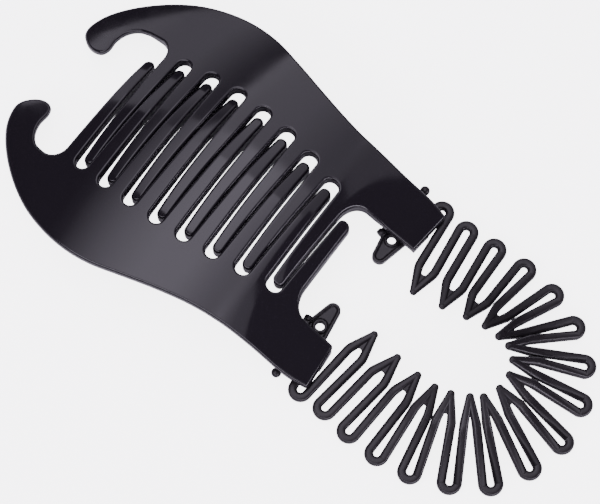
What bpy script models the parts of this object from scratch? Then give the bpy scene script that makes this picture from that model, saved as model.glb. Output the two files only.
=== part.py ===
"""Interlocking banana comb clip with a zigzag stretch band.

The clip is closed and lies arch up on z = 0. X runs along the clip from the hooks to the end of the
band, Y across it. All sizes are in metres.
"""
import math

import bmesh
import bpy
from mathutils import Vector
from mathutils.geometry import delaunay_2d_cdt

# The arch that both closed comb halves follow, as the height of the middle of the plate
ARCH_TOP = 0.01965
ARCH_TOP_X = -0.0275
ARCH_RADIUS = 0.122
NECK_START_X = -0.0030
NECK_END_X = 0.0190
TAB_HEIGHT = 0.0041
FLATTEN_START_X = -0.0060
FLATTEN_END_X = 0.0170
PLATE_SIDE_RADIUS = 0.183
TOOTH_SIDE_RADIUS = 0.051
PLATE_THICKNESS = 0.0021
SPINE_CURVE_STEPS = 3
CORNER_STEPS = 4

# Teeth and the slots between them
TOOTH_PITCH = 0.00937
TOOTH_WIDTH_AT_MIDDLE = 0.0037
TOOTH_TAPER = 0.036
TIP_GAP = 0.0030
FIRST_TIP_REACH = 0.0166
LAST_TIP_REACH = 0.0114
ROUND_END_STEPS = 6

# Outer edge of a half, from the tab to the root of the hook
SPINE_EDGE = (
    # (along the clip, out from the middle)
    (0.0266, 0.0322),
    (0.0200, 0.0333),
    (0.0087, 0.0334),
    (-0.0030, 0.0339),
    (-0.0120, 0.0351),
    (-0.0220, 0.0374),
    (-0.0320, 0.0401),
    (-0.0420, 0.0426),
    (-0.0510, 0.0433),
    (-0.0600, 0.0423),
    (-0.0690, 0.0397),
    (-0.0775, 0.0353),
    (-0.0855, 0.0293),
    (-0.0912, 0.0230),
    (-0.0935, 0.0173),
)

# Curled end of the hook, carrying on from the outer edge round to the throat
HOOK_END = (
    # (along the clip, out from the middle)
    (-0.0928, 0.0140),
    (-0.0896, 0.0115),
    (-0.0862, 0.0105),
    (-0.0833, 0.0111),
    (-0.0822, 0.0134),
    (-0.0825, 0.0171),
    (-0.0813, 0.0206),
    (-0.0786, 0.0229),
    (-0.0750, 0.0237),
)
THROAT_CORNER_LENGTH = 0.0048
THROAT_CORNER_DEPTH = 0.0050

# Neck and tab on the inner side
NECK_CORNER_LENGTH = 0.0050
NECK_CORNER_START = 0.0105
NECK_EDGE = 0.0178
TAB_INNER_CORNER = (0.0253, 0.0184)

# The right half sits a little nearer the band than the left half
HALF_SHIFT = 0.0004

# Hinge under each tab: the end pin of the band, as seen on the half with positive Y
HINGE_POINT = (0.0157, 0.0250)
HINGE_SPLAY = math.radians(6.9)
PIN_HEIGHT = 0.0015
PIN_RADIUS = 0.0011
PIN_CLEARANCE = 0.0003
PIN_INNER_END = 0.0157
COLLAR_RADIUS = 0.0015
COLLAR_LENGTH = 0.0016
COLLAR_CHAMFER = 0.0003
KNOB_RADIUS = 0.00143
KNOB_START = 0.0333
KNOB_STEPS = 5
PIN_SIDES = 12
BARREL_START = 0.0203
BARREL_END = 0.0315
BARREL_WALL = 0.0010
BARREL_MOUTH = 0.0019
BARREL_BOTTOM = 0.00025
BARREL_STEPS = 10
SKIRT_THICKNESS = 0.0009
SKIRT_LENGTH = 0.0066
SKIRT_BOTTOM = 0.00030
SKIRT_REACH = 0.0008
SKIRT_INSET = 0.0015
# Both pins have slid this far toward positive Y in their barrels
BAND_SLIDE = 0.0014

# Lines where a flat half may bend, besides one at every half pitch of its teeth
FOLD_LINES_ALONG = (-0.0840, -0.0760, 0.0143, 0.0193)
FOLD_LINES_ACROSS = (-0.0160, -0.0100, -0.0050, 0.0, 0.0130, 0.0270, 0.0360)
SHEET_REACH = 0.150
# A flat half is filled at a thousand times its size, well above the mesh tools' tolerances
ENLARGED = 1000.0

# Zigzag band: every fold has an outer bend and a pointed tooth after it
WIRE = 0.0024
BEND_OUTER_RADIUS = 0.0031
TOOTH_OUTER_WIDTH = 0.0072
SHOULDER_GAP = 0.0004
SHOULDER_LENGTH = 0.0088
WEB_LENGTH = 0.0068
POINT_RADIUS = 0.0010
BAND_EDGE_ROUNDING = 0.0007
POINT_STEPS = 4
WEB_STEPS = 4
BEND_STEPS = 8
FOLDS = (
    # (bend along, bend across, tip along, tip across, tip height)
    (0.0254, 0.0366, 0.0332, 0.0079, 0.0031),
    (0.0341, 0.0359, 0.0427, 0.0084, 0.0070),
    (0.0437, 0.0365, 0.0501, 0.0091, 0.0104),
    (0.0544, 0.0368, 0.0559, 0.0094, 0.0130),
    (0.0658, 0.0353, 0.0605, 0.0088, 0.0149),
    (0.0769, 0.0308, 0.0641, 0.0081, 0.0162),
    (0.0865, 0.0226, 0.0671, 0.0057, 0.0166),
    (0.0924, 0.0121, 0.0688, 0.0019, 0.0169),
    (0.0945, -0.0009, 0.0689, -0.0025, 0.0169),
    (0.0914, -0.0132, 0.0669, -0.0068, 0.0169),
    (0.0849, -0.0242, 0.0641, -0.0086, 0.0162),
    (0.0748, -0.0315, 0.0596, -0.0106, 0.0149),
    (0.0636, -0.0361, 0.0551, -0.0112, 0.0128),
    (0.0526, -0.0376, 0.0493, -0.0107, 0.0102),
    (0.0423, -0.0372, 0.0416, -0.0093, 0.0070),
    (0.0329, -0.0360, 0.0320, -0.0070, 0.0033),
    (0.0247, -0.0360, 0.0000, 0.0000, 0.0000),
)
END_TOOTH_LEG = (0.0212, 0.0196)
END_TOOTH_TIP = (0.0185, 0.0106)
END_TOOTH_TIP_RADIUS = 0.0022
END_TOOTH_HOLE = (0.0184, 0.0165)
END_TOOTH_HOLE_RADIUS = 0.0013
END_HOLE_SIDES = 8
END_TIP_STEPS = 6

# The two halves. Their slots end on an arc: its depth, the place of its top and its radius
HALVES = (
    # (name, side, first tooth, teeth, slot depth, deepest slot, arc radius)
    ("comb_half_left", -1, -0.0674, 9, 0.0236, -0.0410, 0.185),
    ("comb_half_right", 1, -0.0633, 8, 0.0233, -0.0390, 0.125),
)


def remove_objects():
    for item in list(bpy.data.objects):
        bpy.data.objects.remove(item, do_unlink=True)


def glossy_plastic(name, colour, roughness):
    material = bpy.data.materials.new(name)
    material.use_nodes = True
    shader = material.node_tree.nodes["Principled BSDF"]
    shader.inputs["Base Color"].default_value = (*colour, 1.0)
    shader.inputs["Roughness"].default_value = roughness
    shader.inputs["Metallic"].default_value = 0.0
    return material


def add_object(name, mesh, material=None):
    item = bpy.data.objects.new(name, mesh)
    bpy.context.scene.collection.objects.link(item)
    if material:
        mesh.materials.append(material)
    return item


def mesh_from(bm, name):
    mesh = bpy.data.meshes.new(name)
    bm.to_mesh(mesh)
    bm.free()
    return mesh


def smooth_through(points, steps):
    """Points on a smooth curve that passes through every given point."""
    count = len(points)
    curve = []
    for i in range(count - 1):
        before = points[max(i - 1, 0)]
        start = points[i]
        end = points[i + 1]
        after = points[min(i + 2, count - 1)]
        for step in range(steps):
            t = step / steps
            curve.append(tuple(
                0.5 * (2 * b + (c - a) * t + (2 * a - 5 * b + 4 * c - d) * t * t
                       + (3 * b - a - 3 * c + d) * t ** 3)
                for a, b, c, d in zip(before, start, end, after)))
    curve.append(points[-1])
    return curve


def hinge_place(side):
    """Where the hinge of one half stands in the closed clip."""
    return Vector((HINGE_POINT[0] + side * HALF_SHIFT, side * HINGE_POINT[1], PIN_HEIGHT))


def crown_height(x):
    """Height of the middle of the plate along the middle line of the clip."""
    def arch(at):
        return ARCH_TOP - (at - ARCH_TOP_X) ** 2 / (2 * ARCH_RADIUS)
    if x <= NECK_START_X:
        return arch(x)
    if x >= NECK_END_X:
        return TAB_HEIGHT
    length = NECK_END_X - NECK_START_X
    t = (x - NECK_START_X) / length
    slope = -(NECK_START_X - ARCH_TOP_X) / ARCH_RADIUS
    return ((2 * t ** 3 - 3 * t ** 2 + 1) * arch(NECK_START_X)
            + (t ** 3 - 2 * t ** 2 + t) * length * slope
            + (3 * t ** 2 - 2 * t ** 3) * TAB_HEIGHT)


def plate_height(x, out):
    """Height of the middle of a half, out from the middle line on its own side."""
    t = min(max((x - FLATTEN_START_X) / (FLATTEN_END_X - FLATTEN_START_X), 0.0), 1.0)
    bend = 1.0 - t * t * (3.0 - 2.0 * t)
    radius = PLATE_SIDE_RADIUS if out > 0 else TOOTH_SIDE_RADIUS
    return crown_height(x) - bend * out * out / (2 * radius)


def slot_end(x, half):
    depth, deepest, radius = half[4:]
    return depth - (x - deepest) ** 2 / (2 * radius)


def tooth_half_width(out):
    return (TOOTH_WIDTH_AT_MIDDLE + TOOTH_TAPER * out) / 2


def quarter_turn(start, end, steps, along_first):
    """Points on a quarter ellipse from start to end, leaving along X first or across first."""
    points = []
    for step in range(1, steps):
        angle = math.pi / 2 * step / steps
        if along_first:
            blend = (math.sin(angle), 1 - math.cos(angle))
        else:
            blend = (1 - math.cos(angle), math.sin(angle))
        points.append((start[0] + (end[0] - start[0]) * blend[0],
                       start[1] + (end[1] - start[1]) * blend[1]))
    return points


def tooth_tip(x, reach):
    """The round end of one tooth, from its hook-side edge to its tab-side edge."""
    radius = tooth_half_width(-reach)
    centre = radius - reach
    angles = [math.pi * step / ROUND_END_STEPS for step in range(ROUND_END_STEPS + 1)]
    return [(x - radius * math.cos(angle), centre - radius * math.sin(angle)) for angle in angles]


def slot_round_end(x_left, x_right, half):
    """The round inner end of one slot, from the tooth before it to the tooth after it."""
    middle = (x_left + x_right) / 2
    deep = slot_end(middle, half)
    radius = TOOTH_PITCH / 2 - tooth_half_width(deep)
    centre = deep - radius
    angles = [math.pi * step / ROUND_END_STEPS for step in range(ROUND_END_STEPS + 1)]
    return [(middle - radius * math.cos(angle), centre + radius * math.sin(angle)) for angle in angles]


def comb_outline(half, other):
    """Outline of one half as (along, out) points, from the tab round the spine, hook and teeth."""
    first_x, count = half[2:4]
    has_more_teeth = count > other[3]
    outline = smooth_through(SPINE_EDGE + HOOK_END, SPINE_CURVE_STEPS)
    teeth = [first_x + TOOTH_PITCH * i for i in range(count)]
    throat_depth = HOOK_END[-1][1]
    root = throat_depth - THROAT_CORNER_DEPTH
    edge = (teeth[0] - tooth_half_width(root), root)
    corner = (edge[0] - THROAT_CORNER_LENGTH, throat_depth)
    outline.append(corner)
    outline += quarter_turn(corner, edge, CORNER_STEPS, True)
    outline.append(edge)
    for i, x in enumerate(teeth):
        reach = slot_end(x, other) - TIP_GAP
        if has_more_teeth and i == 0:
            reach = FIRST_TIP_REACH
        if has_more_teeth and i == count - 1:
            reach = LAST_TIP_REACH
        outline += tooth_tip(x, reach)
        if i < count - 1:
            outline += slot_round_end(x, teeth[i + 1], half)
    neck = (teeth[-1] + tooth_half_width(NECK_CORNER_START), NECK_CORNER_START)
    inner = (neck[0] + NECK_CORNER_LENGTH, NECK_EDGE)
    outline.append(neck)
    outline += quarter_turn(neck, inner, CORNER_STEPS, False)
    outline.append(inner)
    outline.append(TAB_INNER_CORNER)
    return outline


def fold_lines(first_x, count):
    """Straight lines over the flat half, as pairs of ends, where its mesh may bend."""
    along = [first_x + TOOTH_PITCH * i / 2 for i in range(2 * count + 1)]
    along.extend(FOLD_LINES_ALONG)
    lines = [((x, -SHEET_REACH), (x, SHEET_REACH)) for x in along]
    lines += [((-SHEET_REACH, out), (SHEET_REACH, out)) for out in FOLD_LINES_ACROSS]
    return lines


def comb_sheet(half, other):
    """The middle surface of one half, bent to the arch, measured from its hinge point."""
    side = half[1]
    outline = [Vector(point) * ENLARGED for point in comb_outline(half, other)]
    points = list(outline)
    edges = []
    for start, end in fold_lines(*half[2:4]):
        edges.append((len(points), len(points) + 1))
        points += [Vector(start) * ENLARGED, Vector(end) * ENLARGED]
    filled = delaunay_2d_cdt(points, edges, [list(range(len(outline)))], 0, 1e-3)
    places, faces, face_sources = filled[0], filled[2], filled[5]
    inside = [face for face, source in zip(faces, face_sources) if source]
    bm = bmesh.new()
    verts = {}
    for index in sorted({corner for face in inside for corner in face}):
        x, out = places[index] / ENLARGED
        verts[index] = bm.verts.new((x - HINGE_POINT[0], side * (out - HINGE_POINT[1]),
                                     plate_height(x, out) - PIN_HEIGHT))
    for face in inside:
        bm.faces.new([verts[corner] for corner in face])
    bmesh.ops.recalc_face_normals(bm, faces=bm.faces[:])
    if sum(face.normal.z for face in bm.faces) < 0:
        bmesh.ops.reverse_faces(bm, faces=bm.faces[:])
    return bm


def prism(profile, start, end):
    """A closed bar with the given (x, z) profile, running along Y from start to end."""
    bm = bmesh.new()
    near = [bm.verts.new((x, start, z)) for x, z in profile]
    far = [bm.verts.new((x, end, z)) for x, z in profile]
    bm.faces.new(near)
    bm.faces.new(list(reversed(far)))
    for i in range(len(profile)):
        j = (i + 1) % len(profile)
        bm.faces.new((near[j], near[i], far[i], far[j]))
    bmesh.ops.recalc_face_normals(bm, faces=bm.faces[:])
    return bm


def barrel_profile():
    """Half-open snap barrel round the pin, as (x, z) points about the pin's axis."""
    bore = PIN_RADIUS + PIN_CLEARANCE
    outside = bore + BARREL_WALL
    top = TAB_HEIGHT - PIN_HEIGHT
    bottom = BARREL_BOTTOM - PIN_HEIGHT
    mouth = BARREL_MOUTH / 2
    start = -math.asin(math.sqrt(bore ** 2 - mouth ** 2) / bore)
    turn = math.pi - 2 * start
    angles = [start + turn * step / BARREL_STEPS for step in range(BARREL_STEPS + 1)]
    arc = [(bore * math.cos(angle), bore * math.sin(angle)) for angle in angles]
    return [(-mouth, bottom), (-outside, bottom), (-outside, top), (outside, top), (outside, bottom),
            (mouth, bottom)] + arc


def hidden_solid(name, bm, parent, splay):
    """A solid that another object's Boolean reads; it is not a piece of its own."""
    item = add_object(name, mesh_from(bm, name))
    item.parent = parent
    item.rotation_euler = (0.0, 0.0, splay)
    item.hide_render = True
    item.display_type = "WIRE"
    return item


def join_with(target, other):
    modifier = target.modifiers.new("join " + other.name, "BOOLEAN")
    modifier.operation = "UNION"
    modifier.object = other


def comb_half(half, other, material):
    name, side = half[:2]
    item = add_object(name, mesh_from(comb_sheet(half, other), name), material)
    item.location = hinge_place(side)
    wall = item.modifiers.new("plate thickness", "SOLIDIFY")
    wall.thickness = PLATE_THICKNESS
    wall.offset = 0.0
    splay = -side * HINGE_SPLAY
    ends = sorted((side * (BARREL_START - HINGE_POINT[1]), side * (BARREL_END - HINGE_POINT[1])))
    barrel = hidden_solid(name + "_barrel", prism(barrel_profile(), *ends), item, splay)
    join_with(item, barrel)
    end_edge = (TAB_INNER_CORNER[0] - HINGE_POINT[0]) / math.cos(HINGE_SPLAY) + SKIRT_REACH
    skirt_profile = [(end_edge - SKIRT_THICKNESS, SKIRT_BOTTOM - PIN_HEIGHT),
                     (end_edge, SKIRT_BOTTOM - PIN_HEIGHT),
                     (end_edge, TAB_HEIGHT - PIN_HEIGHT),
                     (end_edge - SKIRT_THICKNESS, TAB_HEIGHT - PIN_HEIGHT)]
    inner = TAB_INNER_CORNER[1] - HINGE_POINT[1] + SKIRT_INSET
    ends = sorted((side * inner, side * (inner + SKIRT_LENGTH)))
    skirt = hidden_solid(name + "_skirt", prism(skirt_profile, *ends), item, splay)
    join_with(item, skirt)
    return item


def horizontal(vector):
    return Vector((vector.x, vector.y, 0.0)).normalized()


def tooth_frames():
    """Root, tip, direction and sideways direction of each pointed tooth of the band."""
    frames = []
    for fold, after in zip(FOLDS[:-1], FOLDS[1:]):
        root = Vector(((fold[0] + after[0]) / 2, (fold[1] + after[1]) / 2, WIRE / 2))
        tip = Vector((fold[2], fold[3], fold[4]))
        direction = (tip - root).normalized()
        flat = horizontal(direction)
        sideways = Vector((-flat.y, flat.x, 0.0))
        if sideways.dot(Vector((after[0] - fold[0], after[1] - fold[1], 0.0))) < 0:
            sideways = -sideways
        frames.append((root, tip, direction, sideways))
    return frames


def shoulder_width(frames, i):
    """Full width of a tooth at its shoulders, narrower where the fan crowds the teeth."""
    def shoulder(frame):
        return frame[1] - frame[2] * SHOULDER_LENGTH
    width = TOOTH_OUTER_WIDTH
    for j in (i - 1, i + 1):
        if 0 <= j < len(frames):
            width = min(width, (shoulder(frames[i]) - shoulder(frames[j])).length - SHOULDER_GAP)
    return width


def add_strip(bm, left, right):
    for i in range(len(left) - 1):
        bm.faces.new((left[i], right[i], right[i + 1], left[i + 1]))


def band_sheet():
    """The middle surface of the band: a ribbon round the bends, with pointed and end teeth."""
    bm = bmesh.new()
    frames = tooth_frames()
    shoulders = []
    for i, (root, tip, direction, sideways) in enumerate(frames):
        half = shoulder_width(frames, i) / 2
        base = tip - direction * SHOULDER_LENGTH
        inner = half - WIRE
        web = tip - direction * WEB_LENGTH
        out_left = bm.verts.new(base - sideways * half)
        out_right = bm.verts.new(base + sideways * half)
        slope = math.atan2(half - POINT_RADIUS, SHOULDER_LENGTH - POINT_RADIUS)
        point = []
        centre = tip - direction * POINT_RADIUS
        for step in range(POINT_STEPS + 1):
            angle = (math.pi / 2 - slope) * (2 * step / POINT_STEPS - 1)
            point.append(bm.verts.new(centre + sideways * POINT_RADIUS * math.sin(angle)
                                      + direction * POINT_RADIUS * math.cos(angle)))
        slot = []
        slot_base = web - direction * inner
        for step in range(WEB_STEPS + 1):
            angle = math.pi * step / WEB_STEPS
            slot.append(bm.verts.new(slot_base + sideways * inner * math.cos(angle)
                                     + direction * inner * math.sin(angle)))
        bm.faces.new([out_left] + point + [out_right] + slot)
        shoulders.append(((out_left, slot[-1]), (out_right, slot[0])))
    left_end = end_tooth(bm, 1)
    right_end = end_tooth(bm, -1)
    before = [left_end] + [pair[1] for pair in shoulders]
    after = [pair[0] for pair in shoulders] + [right_end]
    for k, fold in enumerate(FOLDS):
        add_bend(bm, fold, before[k], after[k])
    bmesh.ops.recalc_face_normals(bm, faces=bm.faces[:])
    if sum(face.normal.z for face in bm.faces) < 0:
        bmesh.ops.reverse_faces(bm, faces=bm.faces[:])
    return bm


def add_bend(bm, fold, start, end):
    """One outer bend with its two legs, between the legs of the teeth on either side."""
    first = (start[0].co + start[1].co) / 2
    last = (end[0].co + end[1].co) / 2
    outer_point = Vector((fold[0], fold[1], WIRE / 2))
    inward = horizontal((first + last) / 2 - outer_point)
    sideways = Vector((-inward.y, inward.x, 0.0))
    if sideways.dot(last - first) < 0:
        sideways = -sideways
    centre = outer_point + inward * BEND_OUTER_RADIUS
    outside = []
    inside = []
    for step in range(BEND_STEPS + 1):
        angle = math.pi * step / BEND_STEPS
        ray = -sideways * math.cos(angle) - inward * math.sin(angle)
        outside.append(bm.verts.new(centre + ray * BEND_OUTER_RADIUS))
        inside.append(bm.verts.new(centre + ray * (BEND_OUTER_RADIUS - WIRE)))
    # The outer side of a bend carries on as the tooth slot's side of each leg
    add_strip(bm, [start[1]] + outside + [end[1]], [start[0]] + inside + [end[0]])


def end_tooth(bm, side):
    """Short round tooth with a round hole beside a hinge, and the leg that joins it to the band."""
    axis = Vector((math.sin(HINGE_SPLAY), side * math.cos(HINGE_SPLAY), 0.0))
    pin = hinge_place(side)
    pin.z = WIRE / 2

    def on_pin(out):
        return pin + axis * ((out - HINGE_POINT[1]) / math.cos(HINGE_SPLAY))

    leg = Vector((END_TOOTH_LEG[0] + side * HALF_SHIFT, side * END_TOOTH_LEG[1], WIRE / 2))
    tip = Vector((END_TOOTH_TIP[0] + side * HALF_SHIFT, side * END_TOOTH_TIP[1] + BAND_SLIDE, WIRE / 2))
    hole = Vector((END_TOOTH_HOLE[0] + side * HALF_SHIFT, side * END_TOOTH_HOLE[1] + BAND_SLIDE, WIRE / 2))
    leg_outer = bm.verts.new(leg + Vector((WIRE / 2, 0, 0)))
    leg_inner = bm.verts.new(leg - Vector((WIRE / 2, 0, 0)))
    ring = []
    for step in range(END_HOLE_SIDES):
        angle = math.pi / 2 + 2 * math.pi * step / END_HOLE_SIDES
        ring.append(bm.verts.new(hole + Vector((END_TOOTH_HOLE_RADIUS * math.cos(angle),
                                                side * END_TOOTH_HOLE_RADIUS * math.sin(angle), 0))))
    round_tip = []
    for step in range(END_TIP_STEPS + 1):
        angle = -math.pi / 12 - math.pi * 5 / 6 * step / END_TIP_STEPS
        round_tip.append(bm.verts.new(tip + Vector((END_TOOTH_TIP_RADIUS * math.cos(angle),
                                                    side * END_TOOTH_TIP_RADIUS * math.sin(angle), 0))))
    pin_start = bm.verts.new(on_pin(PIN_INNER_END + COLLAR_LENGTH + side * BAND_SLIDE))
    pin_end = bm.verts.new(on_pin(END_TOOTH_LEG[1]))
    bm.faces.new([leg_outer, leg_inner, ring[0]] + [ring[i] for i in (7, 6, 5, 4)] + round_tip[3::-1])
    bm.faces.new([leg_inner, pin_end, pin_start] + round_tip[:2:-1] + [ring[i] for i in (4, 3, 2, 1, 0)])
    return (leg_outer, leg_inner)


def turned_pin(side):
    """The end pin with its collar and knob, turned about Y, measured from the hinge point."""
    def along(out):
        return (out + side * BAND_SLIDE - HINGE_POINT[1]) / math.cos(HINGE_SPLAY)
    knob_length = 2 * KNOB_RADIUS
    profile = [
        (0.0, along(PIN_INNER_END)),
        (COLLAR_RADIUS - COLLAR_CHAMFER, along(PIN_INNER_END)),
        (COLLAR_RADIUS, along(PIN_INNER_END) + COLLAR_CHAMFER),
        (COLLAR_RADIUS, along(PIN_INNER_END) + COLLAR_LENGTH),
        (PIN_RADIUS, along(PIN_INNER_END) + COLLAR_LENGTH),
        (PIN_RADIUS, along(KNOB_START)),
    ]
    neck_angle = math.pi / 4
    for step in range(1, KNOB_STEPS):
        angle = neck_angle + (math.pi - neck_angle) * step / KNOB_STEPS
        profile.append((KNOB_RADIUS * math.sin(angle),
                        along(KNOB_START) + knob_length / 2 - KNOB_RADIUS * math.cos(angle)))
    profile.append((0.0, along(KNOB_START) + knob_length))
    bm = bmesh.new()
    angles = [2 * math.pi * i / PIN_SIDES for i in range(PIN_SIDES)]
    rings = []
    for radius, y in profile:
        if radius == 0.0:
            rings.append([bm.verts.new((0.0, side * y, 0.0))])
        else:
            rings.append([bm.verts.new((radius * math.cos(angle), side * y, radius * math.sin(angle)))
                          for angle in angles])
    for near, far in zip(rings[:-1], rings[1:]):
        for i in range(PIN_SIDES):
            j = (i + 1) % PIN_SIDES
            corners = [near[i % len(near)], near[j % len(near)], far[j % len(far)], far[i % len(far)]]
            bm.faces.new(list(dict.fromkeys(corners)))
    bmesh.ops.recalc_face_normals(bm, faces=bm.faces[:])
    return bm


def stretch_band(material):
    item = add_object("stretch_band", mesh_from(band_sheet(), "stretch_band"), material)
    item.data.shade_smooth()
    wall = item.modifiers.new("wire thickness", "SOLIDIFY")
    wall.thickness = WIRE
    wall.offset = 0.0
    rounding = item.modifiers.new("rounded wire", "BEVEL")
    rounding.width = BAND_EDGE_ROUNDING
    rounding.segments = 1
    rounding.limit_method = "ANGLE"
    rounding.angle_limit = math.radians(50)
    for side, label in ((-1, "left"), (1, "right")):
        pin = hidden_solid("hinge_pin_" + label, turned_pin(side), None, -side * HINGE_SPLAY)
        pin.data.shade_smooth()
        pin.data.set_sharp_from_angle(angle=math.radians(30))
        pin.location = hinge_place(side)
        join_with(item, pin)
    return item


remove_objects()
comb_plastic = glossy_plastic("black moulded acrylic", (0.012, 0.011, 0.013), 0.12)
band_plastic = glossy_plastic("black moulded nylon", (0.012, 0.012, 0.013), 0.3)
stretch_band(band_plastic)
for one, another in (HALVES, HALVES[::-1]):
    comb_half(one, another, comb_plastic)
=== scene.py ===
"""Looks of the interlocking banana comb clip: three glossy black mouldings on a white studio floor."""
import math
from collections import namedtuple

import bmesh
import bpy
import numpy as np
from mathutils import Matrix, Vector
from mathutils.geometry import delaunay_2d_cdt


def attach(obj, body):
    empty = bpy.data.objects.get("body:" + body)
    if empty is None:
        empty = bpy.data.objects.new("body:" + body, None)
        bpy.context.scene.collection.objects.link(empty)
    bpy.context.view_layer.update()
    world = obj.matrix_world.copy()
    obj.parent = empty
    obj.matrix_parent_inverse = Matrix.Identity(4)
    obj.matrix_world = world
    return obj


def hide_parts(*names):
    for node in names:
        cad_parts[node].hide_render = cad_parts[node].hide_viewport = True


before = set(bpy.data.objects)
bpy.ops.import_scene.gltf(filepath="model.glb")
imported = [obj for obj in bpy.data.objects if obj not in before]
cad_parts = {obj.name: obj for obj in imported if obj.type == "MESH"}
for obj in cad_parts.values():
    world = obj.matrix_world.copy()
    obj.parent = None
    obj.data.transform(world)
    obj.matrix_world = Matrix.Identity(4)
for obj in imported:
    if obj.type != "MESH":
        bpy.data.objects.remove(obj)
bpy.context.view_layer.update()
MM = 0.001

# Studio
# A white seamless table, seen from well above by a long lens. Large soft boxes over black cloth
# light it, so the black plastic mirrors soft grey panels with dark gaps between them.
CAMERA_PLACE = (98.3, -129.4, 499.6)
CAMERA_TARGET = (0.63, -1.76, 5.0)
CAMERA_LENS = 109.3
SENSOR_WIDTH = 36.0
FLOOR_SIZE = 3000.0
FLOOR_WHITE = "#fbfafc"
FLOOR_GLOW = 5.0
ROOM_DARK = "#2b2a30"
PANEL_TINT = (0.92, 0.86, 1.0)
PANELS = (
    # (name, x from, x to, y from, y to, height, brightness along x)
    ("panel_overhead", -900.0, 300.0, -430.0, 340.0, 800.0,
     ((-900.0, 0.0), (-760.0, 0.15), (-600.0, 1.1), (-450.0, 2.1), (-250.0, 3.0), (-80.0, 3.0),
      (60.0, 1.9), (300.0, 0.9))),
    ("panel_low_end", 300.0, 520.0, -430.0, 20.0, 800.0, ((300.0, 0.9), (520.0, 0.8))),
    ("panel_high_end", 300.0, 700.0, 440.0, 1300.0, 800.0, ((300.0, 0.7), (700.0, 0.7))),
    ("panel_on_the_right", -3200.0, 300.0, 340.0, 1300.0, 800.0,
     ((-3200.0, 1.6), (-1500.0, 1.2), (-950.0, 1.3), (-760.0, 0.9), (-560.0, 0.25), (-510.0, 0.3),
      (-470.0, 2.1), (-380.0, 1.7), (-150.0, 1.5), (60.0, 0.9), (300.0, 0.7))),
    ("panel_near_the_camera", -900.0, 900.0, -1500.0, -700.0, 700.0, ((-900.0, 5.0), (900.0, 5.0))),
    ("panel_past_the_band", 1100.0, 1500.0, -1200.0, -300.0, 500.0, ((1100.0, 4.0), (1500.0, 4.0))),
    ("panel_low_past_the_band", 600.0, 1600.0, -1200.0, 300.0, 180.0, ((600.0, 11.0), (1600.0, 11.0))),
)


def linear(colour):
    """An sRGB hex colour as the linear RGBA that a shader socket takes."""
    parts = [int(colour[i:i + 2], 16) / 255 for i in (1, 3, 5)]
    light = [part / 12.92 if part <= 0.04045 else ((part + 0.055) / 1.055) ** 2.4 for part in parts]
    return (*light, 1.0)


def add_node(tree, kind, values=None, links=None, **settings):
    """One node with its settings, its constant inputs and the sockets that feed it."""
    node = tree.nodes.new(kind)
    for name, value in settings.items():
        setattr(node, name, value)
    for socket, value in (values or {}).items():
        node.inputs[socket].default_value = value
    for socket, source in (links or {}).items():
        tree.links.new(source, node.inputs[socket])
    return node


def new_material(name):
    """An empty material and the output node that its shader goes to."""
    material = bpy.data.materials.new(name)
    material.use_nodes = True
    material.node_tree.nodes.clear()
    return material, material.node_tree.nodes.new("ShaderNodeOutputMaterial")


def white_paper():
    """Matt white background paper: an even, shadow-softening white."""
    material, output = new_material("matt_white_background_paper")
    tree = material.node_tree
    place = add_node(tree, "ShaderNodeTexCoord")
    tooth = add_node(tree, "ShaderNodeTexNoise", {"Scale": 700.0, "Detail": 3.0},
                     {"Vector": place.outputs["Object"]})
    bump = add_node(tree, "ShaderNodeBump", {"Strength": 0.05, "Distance": 0.0001},
                    {"Height": tooth.outputs["Fac"]})
    shader = add_node(tree, "ShaderNodeBsdfPrincipled",
                      {"Base Color": linear(FLOOR_WHITE), "Roughness": 0.9, "Specular IOR Level": 0.1},
                      {"Normal": bump.outputs["Normal"]})
    # The table glows for the lens alone, as a photo's overexposed background does
    glow = add_node(tree, "ShaderNodeEmission", {"Color": linear(FLOOR_WHITE), "Strength": FLOOR_GLOW})
    path = add_node(tree, "ShaderNodeLightPath")
    both = add_node(tree, "ShaderNodeAddShader", None,
                    {0: shader.outputs["BSDF"], 1: glow.outputs["Emission"]})
    seen = add_node(tree, "ShaderNodeMixShader", None,
                    {0: path.outputs["Is Camera Ray"], 1: shader.outputs["BSDF"],
                     2: both.outputs["Shader"]})
    tree.links.new(seen.outputs["Shader"], output.inputs["Surface"])
    return material


floor_mesh = bpy.data.meshes.new("studio_floor")
reach = FLOOR_SIZE * MM / 2
floor_mesh.from_pydata([(-reach, -reach, 0), (reach, -reach, 0), (reach, reach, 0), (-reach, reach, 0)],
                       [], [(0, 1, 2, 3)])
floor_mesh.materials.append(white_paper())
floor = bpy.data.objects.new("studio_floor", floor_mesh)
bpy.context.scene.collection.objects.link(floor)


def panel_light(name, brightness):
    """Back-lit white cloth of a soft box, whose light rises and falls along its length."""
    material, output = new_material(name + "_cloth")
    tree = material.node_tree
    place = add_node(tree, "ShaderNodeTexCoord")
    along = add_node(tree, "ShaderNodeSeparateXYZ", None, {"Vector": place.outputs["Object"]})
    first, last = brightness[0][0], brightness[-1][0]
    peak = max(level for x, level in brightness)
    share = add_node(tree, "ShaderNodeMapRange", {"From Min": first * MM, "From Max": last * MM},
                     {"Value": along.outputs["X"]})
    ramp = add_node(tree, "ShaderNodeValToRGB", None, {"Fac": share.outputs["Result"]})
    ramp.color_ramp.interpolation = "LINEAR"
    for i, (x, level) in enumerate(brightness):
        spot = (x - first) / (last - first)
        stop = ramp.color_ramp.elements[i] if i < 2 else ramp.color_ramp.elements.new(spot)
        stop.position = spot
        stop.color = (*(level / peak * tint for tint in PANEL_TINT), 1.0)
    glow = add_node(tree, "ShaderNodeEmission", {"Strength": peak}, {"Color": ramp.outputs["Color"]})
    tree.links.new(glow.outputs["Emission"], output.inputs["Surface"])
    return material


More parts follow.
